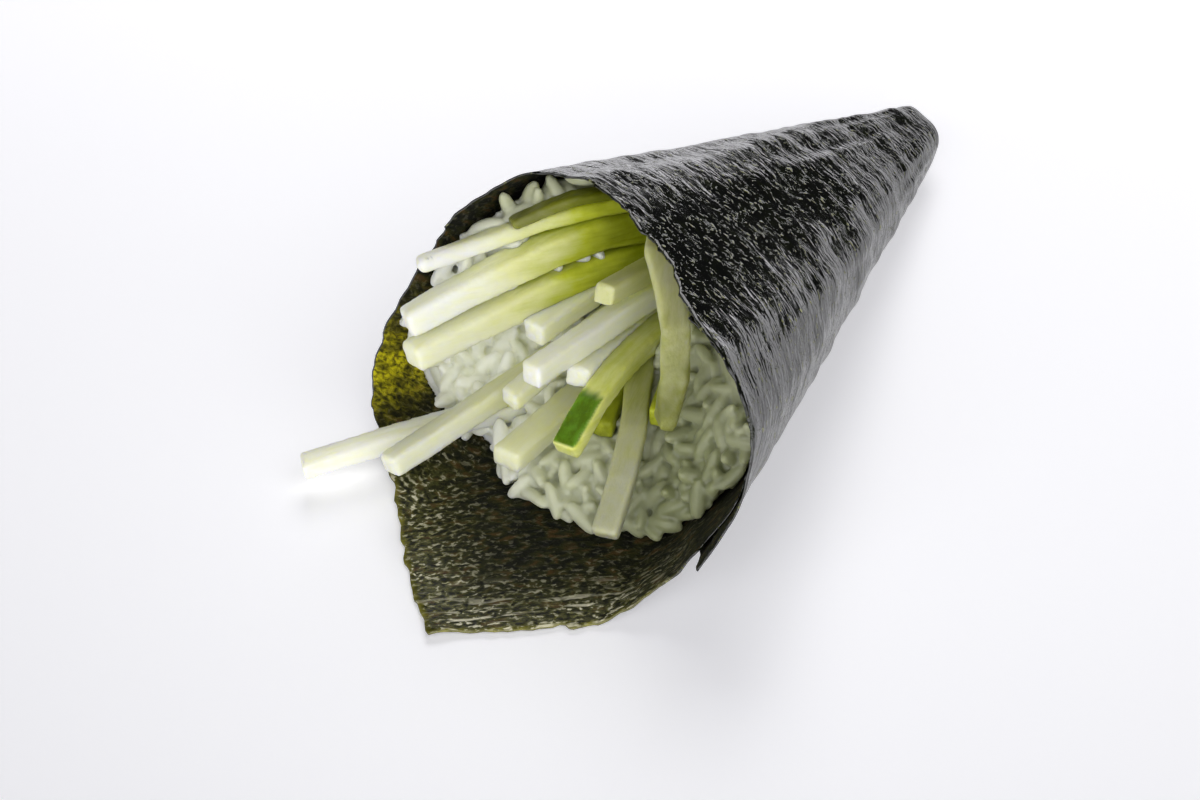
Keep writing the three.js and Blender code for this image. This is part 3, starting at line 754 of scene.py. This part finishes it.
rice = {
    "back": 46, "footRadius": 160, "rimMargin": 3, "startMargin": 7,
    "hollows": (
        (-66, 24, -7), (-30, 20, -3.5), (26, 16, -7.5), (108, 38, -4.2), (178, 34, -16), (-118, 26, -9),
    ),
    "waist": (-111, 0, 26), "bowl": 1.5, "coreGap": 1.2, "leafThick": 0.6,
    "under": 2.6, "underFrom": (0, 0.15), "underUpTo": 0.75,  # how far the hidden core lies under the face
    "faceShare": 0.6, "wallShare": 0.9,  # of the way to the back, and of the way on to the pole
    "coreBall": (120, 70), "bedBall": (120, 60), "grainBall": (8, 7),  # segments and rings
    "bedUnder": 1.25, "bedThick": 5,  # the grains stick to a bed and to each other
    "voxel": 0.35, "facesKept": 0.73, "soften": 1,
    "leafGap": 0.25, "leafNear": 2, "leafFacing": 0.8,  # the grains are kept this far inside the leaf
    "lowLayer": (9000, 2.6, -0.3), "topLayer": (5200, 3.2, 0.65),  # tries, spacing and height over the face
    "length": (6.0, 7.8), "width": (2.5, 3.0), "flat": 0.86, "blunt": 0.22, "bent": 0.16, "taper": 0.12,
    "lieDown": 0.8, "endWidth": 0.82,
    "overlap": 0.84,  # grains settle until they are this part of their widths apart
    "reach": 2.4, "apart": 0.35,  # how far off others push a grain, and how much of it at a step
    "offSticks": (0.92, 0.7), "offWall": (0.95, 0.9),  # nearest, in half widths, and how fast
    "turning": 0.5, "backToFace": 0.25, "steps": 24, "seed": 12,
    "startGap": 0.2, "stickGap": 0.3, "floorGap": 1.0,  # least room round a grain that is kept
    "amongRoots": 0.3, "lipClear": (25, -3), "lipRoom": 6,  # none so deep, nor above this height on this side
    "mayCover": "17",  # the only stick that grains may lie on
    "overFace": 0.9, "coverReach": 7,  # a stick this near behind a grain is hidden by it
    "clearView": (0.69, 0.42, -0.59),  # seen along this way, no grain hides a stick either
    # clear, pearly and milky grains
    "grain": ((0.15, (0.44, 0.46, 0.34)), (0.40, (0.70, 0.72, 0.57)), (0.66, (0.84, 0.85, 0.73))),
    "tones": (0.45, 1), "coreTone": 0.4, "matt": (0.35, 0.65, 0.42, 0.28), "relief": {"fine": 0.06},
    "shadeTint": (0.42, 0.44, 0.27),  # painted shade under the lip, up to this share at the side, the top and low down
    "shadeTintSide": (0.85, -9, 14), "shadeTintTop": (0.85, 32, 42),
    "shadeTintLow": (0.75, -24, -12), "shadeTintLowSide": (-12, 0),
    "shaded": (0.10, 0.12, 0.006),  # green light among the sticks' roots, and less of it low on the right
    "rootsX": (-19, -9), "rootsZ": (12, 22), "lowShade": 0.5, "lowShadeY": (8, 20), "lowShadeZ": (-30, -14),
    "lightColours": (1.0, 0.97, 0.75), "lightReach": 0.003, "mirror": 0.4,
}
ricePatterns = {  # size of a step in metres, detail and roughness
    "mist": ((0.0022, 0.0022, 0.0022), 3, 0.55),
    "fine": ((0.0009, 0.0009, 0.0009), 2, 0.5),
}


def riceInset(psi, radius):
    phi = phiOfPsi(np.mod(psi, 2 * math.pi))
    innerPhi = phi - sheet["turn"]
    inner = np.where(innerPhi > sheet["start"] - rice["startMargin"], layerLift(innerPhi, radius), 0)
    return np.maximum(layerLift(phi, radius), inner) + rice["leafThick"] + rice["coreGap"]


def riceRim(psi):
    psi = np.mod(psi, 2 * math.pi)
    phi = phiOfPsi(psi)
    edge = np.where(phi > sheet["corner"], rice["footRadius"], rimRadius(phi) - rice["rimMargin"])
    radius = np.minimum(edge, rice["footRadius"]) + sumBumps(rice["hollows"], psi)
    return radius, wallPoint(psi, radius, riceInset(psi, radius))


def facePoint(psi, depth):
    rim = riceRim(psi)[1]
    depth = np.asarray(depth, float)[..., None]
    waist = np.array(rice["waist"], float)
    bowl = np.concatenate([depth ** rice["bowl"], depth, depth], -1)
    return rim + (waist - rim) * bowl


def coreSurface(bm, under):  # shapes a ball of radius 1 into the face, the wall behind it and the back
    ball = np.array([v.co for v in bm.verts])
    psi = np.arctan2(ball[:, 1], ball[:, 0])
    fall = np.arccos(np.clip(ball[:, 2], -1, 1)) / math.pi  # 0 in the middle of the face, 1 at the back
    faceShare, wallShare = rice["faceShare"], rice["wallShare"]
    face = facePoint(psi, np.clip(1 - fall / faceShare, 0, 1))
    radius = riceRim(psi)[0]
    back = np.clip((fall - faceShare) / (1 - faceShare), 0, 1)
    wallRadius = radius + (rice["back"] - radius) * np.minimum(back / wallShare, 1)
    wall = wallPoint(psi, wallRadius, riceInset(psi, wallRadius))
    pole = np.array([-rice["back"], 0, rice["back"] * cone["halfHeight"]])
    wall = wall + (pole - wall) * np.clip((back - wallShare) / (1 - wallShare), 0, 1)[:, None]
    place = np.where((fall > faceShare)[:, None], wall, face)
    for vertex, co in zip(bm.verts, (place + apex) * mm):
        vertex.co = co
    bmesh.ops.recalc_face_normals(bm, faces=bm.faces)
    bm.normal_update()
    if under:
        sink = ease(rice["underUpTo"] - fall, *rice["underFrom"]) * under * mm
        moved = [v.co - v.normal * s for v, s in zip(bm.verts, sink)]
        for vertex, co in zip(bm.verts, moved):
            vertex.co = co


def amongRoots(places):
    return ease(places[:, 0], *rice["rootsX"]) * ease(places[:, 2], *rice["rootsZ"])


def shadeAmount(places):
    low = rice["lowShade"] * ease(-places[:, 1], *rice["lowShadeY"]) * ease(-places[:, 2], *rice["lowShadeZ"])
    return np.maximum(amongRoots(places), low)


# painted shade: how much of it under the lip, at the side, the top and low down
def shadeTintAmount(places):
    (side, *sideY), (top, *topZ), (low, *lowZ) = rice["shadeTintSide"], rice["shadeTintTop"], rice["shadeTintLow"]
    side = side * ease(-places[:, 1], *sideY)
    top = top * ease(places[:, 2], *topZ)
    low = low * ease(-places[:, 2], *lowZ) * ease(-places[:, 1], *rice["shadeTintLowSide"])
    return np.maximum(side, np.maximum(top, low))


def riceMaterial():
    material, tree, shader = newMaterial("riceGrain")
    tone, shadeTint, shaded = (readAttribute(tree, name).outputs["Fac"] for name in ("tone", "shadeTint", "shaded"))
    place = tree.nodes.new("ShaderNodeTexCoord").outputs["Object"]
    pattern = {name: cloud(tree, place, *numbers) for name, numbers in ricePatterns.items()}
    base = ramp(tree, times(tree, plus(tree, tone, pattern["mist"]), 0.5), rice["grain"])
    # painted shade under the lip
    base = mixColours(tree, shadeTint, base, rice["shadeTint"])
    base = mixColours(tree, shaded, base, rice["shaded"])
    tree.links.new(base, shader.inputs["Base Color"])
    tree.links.new(greyRamp(tree, pattern["mist"], *rice["matt"]), shader.inputs["Roughness"])
    letLightIn(shader, rice)
    bumps(tree, shader, pattern, rice["relief"])
    return material


def shadeRice(mesh, tones):
    points = np.array([v.co for v in mesh.vertices]) / mm
    addAttribute(mesh, "tone", tones(points))
    addAttribute(mesh, "shaded", shadeAmount(points))
    addAttribute(mesh, "shadeTint", shadeTintAmount(points))


def makeCore(material):
    bm = ballOf(*rice["coreBall"], 1)
    coreSurface(bm, rice["under"])
    mesh = bpy.data.meshes.new("riceCore")
    bm.to_mesh(mesh)
    bm.free()
    shadeSmooth(mesh)
    shadeRice(mesh, lambda points: np.full(len(points), rice["coreTone"]))
    return addPiece("riceCore", mesh, [material], "rice", ["rice_filling"])


def treeOf(points):
    tree = KDTree(len(points))
    for i, point in enumerate(points):
        tree.insert(point, i)
    tree.balance()
    return tree


def scatter(rng, tries, spacing, height):  # evenly over the face, then thinned to the spacing
    turn = math.pi * (3 - math.sqrt(5))
    k = np.arange(tries)
    psi = (k * turn) % (2 * math.pi) + rng.uniform(-0.02, 0.02, tries)
    depth = 1 - np.sqrt((k + 0.5) / tries) * 1.01
    spots = facePoint(psi, np.maximum(depth, 0)) + apex
    kept = []
    for spot in spots[rng.permutation(tries)]:
        if not kept or np.min(np.sum((np.array(kept) - spot) ** 2, 1)) > spacing ** 2:
            kept.append(spot)
    return np.array(kept), np.full(len(kept), height)


ringPsi = np.linspace(0, 2 * math.pi, 361)[:-1]
ringPlace = sectionRay(ringPsi)
ringPlace = ringPlace[:, 1:] / -ringPlace[:, :1]
ringInward = inwardAt(ringPsi)


def wallRoom(places):  # how far each place is inside the leaf, and which way is in
    local = places - apex
    distance = np.maximum(-local[:, 0], 1)
    across = local[:, 1:] / distance[:, None]
    away = across[:, None, :] - ringPlace[None]
    nearest = np.argmin((away ** 2).sum(2), 1)
    inward = ringInward[nearest]
    radius = np.linalg.norm(local, axis=1)
    onWall = ringPlace[nearest] * distance[:, None]
    onWall = np.concatenate([-distance[:, None], onWall], 1)
    room = ((local - onWall) * inward).sum(1)
    pressed = lipPress(ringPsi[nearest], radius) > 0.01  # the lip makes room there
    leafInside = riceInset(ringPsi[nearest], radius) - rice["coreGap"]
    return room - leafInside + rice["lipRoom"] * pressed, inward


def treeOfMeshes(meshes):
    bm = bmesh.new()
    for mesh in meshes:
        bm.from_mesh(mesh)
    return treeFrom(bm)


def treeOfFace():
    bm = ballOf(*rice["coreBall"], 1)
    coreSurface(bm, 0)
    return treeFrom(bm)


faceTree = treeOfFace()
leafTree = treeOfMeshes([noriLeaf.data])
stickTree = treeOfMeshes(
    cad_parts["cucumber_stick_" + name].data for name in stickNames if name != rice["mayCover"]
)


def throughLeaf(point, half):
    found, normal, _, _ = leafTree.find_nearest(point, half + 1)
    return found is not None and (found - point).dot(normal) < half


def keepInsideLeaf(bm):
    for vertex in bm.verts:
        found, normal, _, distance = leafTree.find_nearest(vertex.co / mm, rice["leafNear"])
        if found is None:
            continue
        inside = (found - vertex.co / mm).dot(normal)
        if inside < rice["leafGap"] and abs(inside) > rice["leafFacing"] * distance:  # not past its edge
            vertex.co = (found - normal * rice["leafGap"]) * mm


def stickRoom(point, farthest=5.0):  # how far a place is from the sticks, under 0 inside one, and the way out
    found, normal, _, distance = stickTree.find_nearest(point, farthest)
    if found is None:
        return farthest, None
    away = point - found
    if away.dot(normal) < 0:
        return -distance, normal
    return distance, away.normalized() if distance > 1e-6 else normal


def unit(vectors):
    return vectors / np.linalg.norm(vectors, axis=1, keepdims=True)


def partsOf(centre, axis, length, width):  # one end, the middle and the other end of each grain
    along = np.tile([-1.0, 0.0, 1.0], len(centre)) * np.repeat((length - width) / 2, 3)
    return np.repeat(centre, 3, axis=0) + np.repeat(axis, 3, axis=0) * along[:, None]


def halfWidths(width):  # at the same three parts
    return (width[:, None] * 0.5 * np.array([rice["endWidth"], 1.0, rice["endWidth"]])).ravel()


def scatterGrains(rng):
    low, lowHeight = scatter(rng, *rice["lowLayer"])
    top, topHeight = scatter(rng, *rice["topLayer"])
    centre = np.concatenate([low, top])
    height = np.concatenate([lowHeight, topHeight])
    free = [stickRoom(Vector(point))[0] > rice["startGap"] for point in centre]
    centre, height = centre[free], height[free]
    count = len(centre)
    length = rng.uniform(*rice["length"], count)
    width = rng.uniform(*rice["width"], count)
    axis = rng.normal(size=(count, 3))
    for i in range(count):
        normal = np.array(faceTree.find_nearest(Vector(centre[i]))[1])
        axis[i] -= normal * axis[i].dot(normal) * rice["lieDown"]
        centre[i] += normal * height[i]
    return centre, unit(axis), height, length, width


def pushApart(places, half):  # away from the other grains and off the sticks
    near = treeOf(places)
    push = np.zeros_like(places)
    touch, share = rice["offSticks"]
    for i, point in enumerate(places):
        for other, j, distance in near.find_range(point, rice["reach"]):
            if j // 3 == i // 3 or distance < 1e-6:
                continue
            overlap = (half[i] + half[j]) * rice["overlap"] - distance
            if overlap > 0:
                push[i] += (point - np.array(other)) / distance * overlap * rice["apart"]
        room, out = stickRoom(Vector(point))
        if room < half[i] * touch:
            push[i] += np.array(out) * (half[i] * touch - room) * share
    return push


def settle(centre, axis, height, length, width):
    count = len(centre)
    half = halfWidths(width)
    reach = (length - width) / 2
    touch, share = rice["offWall"]
    for _ in range(rice["steps"]):
        places = partsOf(centre, axis, length, width)
        push = pushApart(places, half)
        room, inward = wallRoom(places)
        short = np.maximum(half * touch - room, 0)
        push += inward * (short * share)[:, None]
        push = push.reshape(count, 3, 3)
        centre = centre + push.mean(1)
        axis = unit(axis + (push[:, 2] - push[:, 0]) / reach[:, None] * rice["turning"])
        for i in range(count):
            found, normal, _, _ = faceTree.find_nearest(Vector(centre[i]))
            gap = height[i] - (Vector(centre[i]) - found).dot(normal)
            centre[i] += np.array(normal) * gap * rice["backToFace"]
    return centre, axis


def withRoom(centre, axis, length, width):  # which grains touch nothing and hide no stick
    places = partsOf(centre, axis, length, width)
    tight = np.array([stickRoom(Vector(point))[0] for point in places]) < rice["stickGap"]
    tight |= [throughLeaf(Vector(point), half) for point, half in zip(places, halfWidths(width))]
    tight |= (places[:, 2] < rice["floorGap"]) | (amongRoots(places) > rice["amongRoots"])
    tight |= (places[:, 2] > rice["lipClear"][0]) & (places[:, 1] < rice["lipClear"][1])
    keep = ~tight.reshape(len(centre), 3).any(1)
    for i in np.flatnonzero(keep):
        normal = faceTree.find_nearest(Vector(centre[i]))[1]
        for direction in (-normal, rice["clearView"]):
            found = stickTree.ray_cast(Vector(centre[i]), Vector(direction), rice["coverReach"])[0]
            if found is not None:
                below, facing, _, _ = faceTree.find_nearest(found)
                keep[i] &= (found - below).dot(facing) < rice["overFace"]
    return keep


def settleGrains(rng):
    centre, axis, height, length, width = scatterGrains(rng)
    centre, axis = settle(centre, axis, height, length, width)
    keep = withRoom(centre, axis, length, width)
    return centre[keep], axis[keep], length[keep], width[keep]


def makeBed():  # a closed layer that follows the face, for the grains to stick to
    bm = ballOf(*rice["bedBall"], 1)
    ball = np.array([v.co for v in bm.verts])
    psi = np.arctan2(ball[:, 1], ball[:, 0])
    fall = np.arccos(np.clip(ball[:, 2], -1, 1)) / math.pi
    face = facePoint(psi, np.abs(1 - 2 * fall))
    away = np.linalg.norm(face, axis=1, keepdims=True)
    under = np.where(fall > 0.5, rice["bedThick"], rice["bedUnder"])[:, None]
    for vertex, co in zip(bm.verts, (face * (1 - under / away) + apex) * mm):
        vertex.co = co
    bmesh.ops.recalc_face_normals(bm, faces=bm.faces)
    return bm


def grainShape():  # long, a little flat, blunt at both ends and bent
    bm = ballOf(*rice["grainBall"], 0.5)
    for vertex in bm.verts:
        x, y, z = vertex.co
        blunt = 1 + rice["blunt"] * (2 * z) ** 2
        vertex.co = (x * blunt, y * blunt * rice["flat"] + rice["bent"] * (2 * z) ** 2, z)
    bm.verts.index_update()
    places = np.array([v.co for v in bm.verts])
    faces = [[v.index for v in face.verts] for face in bm.faces]
    bm.free()
    return places, faces


def makeGrains(material):
    rng = np.random.default_rng(rice["seed"])
    centre, axis, length, width = settleGrains(rng)
    base, faces = grainShape()
    places, polygons, tones = [], [], []
    for i, forward in enumerate(axis):
        side = np.cross(forward, rng.normal(size=3))
        side /= np.linalg.norm(side)
        up = np.cross(forward, side)
        shape = base * np.array([width[i], width[i], length[i]])
        shape[:, 0] *= 1 + rice["taper"] * rng.uniform(-1, 1) * base[:, 2] * 2
        first = len(places) * len(base)
        places.append(centre[i] + shape[:, :1] * side + shape[:, 1:2] * up + shape[:, 2:] * forward)
        polygons += [[first + k for k in face] for face in faces]
        tones.append(rng.uniform(*rice["tones"]))
    loose = bpy.data.meshes.new("looseGrains")
    loose.from_pydata((np.concatenate(places) * mm).tolist(), [], polygons)
    bm = makeBed()
    bm.from_mesh(loose)
    bm.to_mesh(loose)
    bm.free()
    mesh = remeshed(loose, rice["voxel"], rice["facesKept"])
    bm = bmesh.new()
    bm.from_mesh(mesh)
    soften(bm, rice["soften"])
    keepInsideLeaf(bm)
    bm.to_mesh(mesh)
    bm.free()
    mesh.name = "riceGrains"
    shadeSmooth(mesh)
    near = treeOf(partsOf(centre, axis, length, width))
    shadeRice(mesh, lambda points: [tones[near.find(point)[1] // 3] for point in points])
    return len(centre), addPiece("riceGrains", mesh, [material], "rice")


riceLook = riceMaterial()
riceCore = makeCore(riceLook)
grainCount, riceGrains = makeGrains(riceLook)
print("rice made:", grainCount, "grains in", len(riceGrains.data.polygons), "faces")


# floor and light

studio = {
    "floor": (0.84, 0.84, 0.87), "floorRoughness": 0.35, "floorDrop": 0.15, "floorSize": 2.5,
    "near": (-0.857, -0.515),  # the way to the near side
    "glow": (0.97, 0.96, 1.0), "glowFrom": 0.2, "glowMost": 4.0,
    # brighter the further off
    "floorGlow": ((0.0, 0.16), (0.32, 0.48), (0.42, 0.55), (0.7, 2.4), (1.0, 2.4)),
    "sky": (0.02, 0.02, 0.022), "horizon": (2.0, 2.0, 2.05),  # the horizon glows only on the near side
    "horizonNear": (0.0, 0.4), "horizonUpTo": (0.28, 0.42),
    "lampsAim": (0, 0, 0.02),
    "lamps": {  # place, size and power
        "key": ((-0.27, -1.02, 1.06), 0.9, 4.4),
        "front": ((-1.0, -0.66, 0.86), 0.9, 5.6),
        "left": ((-1.32, 0.0, 0.70), 0.9, 4.2),
        "back": ((0.96, 0.45, 1.06), 0.9, 7.0),
    },
}


def nearAndHigh(tree, coordinates):  # how far towards the near side a place is, and how high
    split = tree.nodes.new("ShaderNodeSeparateXYZ")
    tree.links.new(tree.nodes.new("ShaderNodeTexCoord").outputs[coordinates], split.inputs["Vector"])
    nearX, nearY = studio["near"]
    near = plus(tree, times(tree, split.outputs["X"], nearX), times(tree, split.outputs["Y"], nearY))
    return near, split.outputs["Z"]


def makeFloor():
    bm = bmesh.new()
    bmesh.ops.create_grid(bm, x_segments=1, y_segments=1, size=studio["floorSize"])
    bmesh.ops.translate(bm, verts=bm.verts, vec=(0, 0, -studio["floorDrop"] * mm))
    mesh = bpy.data.meshes.new("floor")
    bm.to_mesh(mesh)
    bm.free()
    material, tree, shader = newMaterial("paleFloor")
    shader.inputs["Base Color"].default_value = (*studio["floor"], 1)
    shader.inputs["Roughness"].default_value = studio["floorRoughness"]
    shader.inputs["Emission Color"].default_value = (*studio["glow"], 1)
    near, _ = nearAndHigh(tree, "Object")
    most = studio["glowMost"]
    glow = ramp(tree, maths(tree, "SUBTRACT", studio["glowFrom"], near),
                [(place, grey(strength / most)) for place, strength in studio["floorGlow"]])
    tree.links.new(times(tree, glow, most), shader.inputs["Emission Strength"])
    floor = addPiece("floor", mesh, [material])


def addLight(name, place, size, power):
    light = bpy.data.lights.new(name, "AREA")
    light.size = size
    light.energy = power
    lamp = bpy.data.objects.new(name, light)
    lamp.location = place
    lamp.rotation_euler = (Vector(studio["lampsAim"]) - Vector(place)).to_track_quat("-Z", "Y").to_euler()
    bpy.context.scene.collection.objects.link(lamp)


def makeWorld():  # dark behind, so that the leaf keeps its contrast
    world = bpy.data.worlds.new("studio")
    world.use_nodes = True
    tree = world.node_tree
    near, high = nearAndHigh(tree, "Generated")
    near = greyRamp(tree, near, *studio["horizonNear"])
    low = greyRamp(tree, high, *studio["horizonUpTo"], 1, 0)
    sky = mixColours(tree, times(tree, near, low), studio["sky"], studio["horizon"])
    tree.links.new(sky, tree.nodes["Background"].inputs["Color"])
    bpy.context.scene.world = world


makeFloor()
for lampName, (lampPlace, lampSize, lampPower) in studio["lamps"].items():
    addLight(lampName, lampPlace, lampSize, lampPower)
makeWorld()
bpy.context.scene.view_settings.view_transform = "Standard"
print("floor and lights placed")
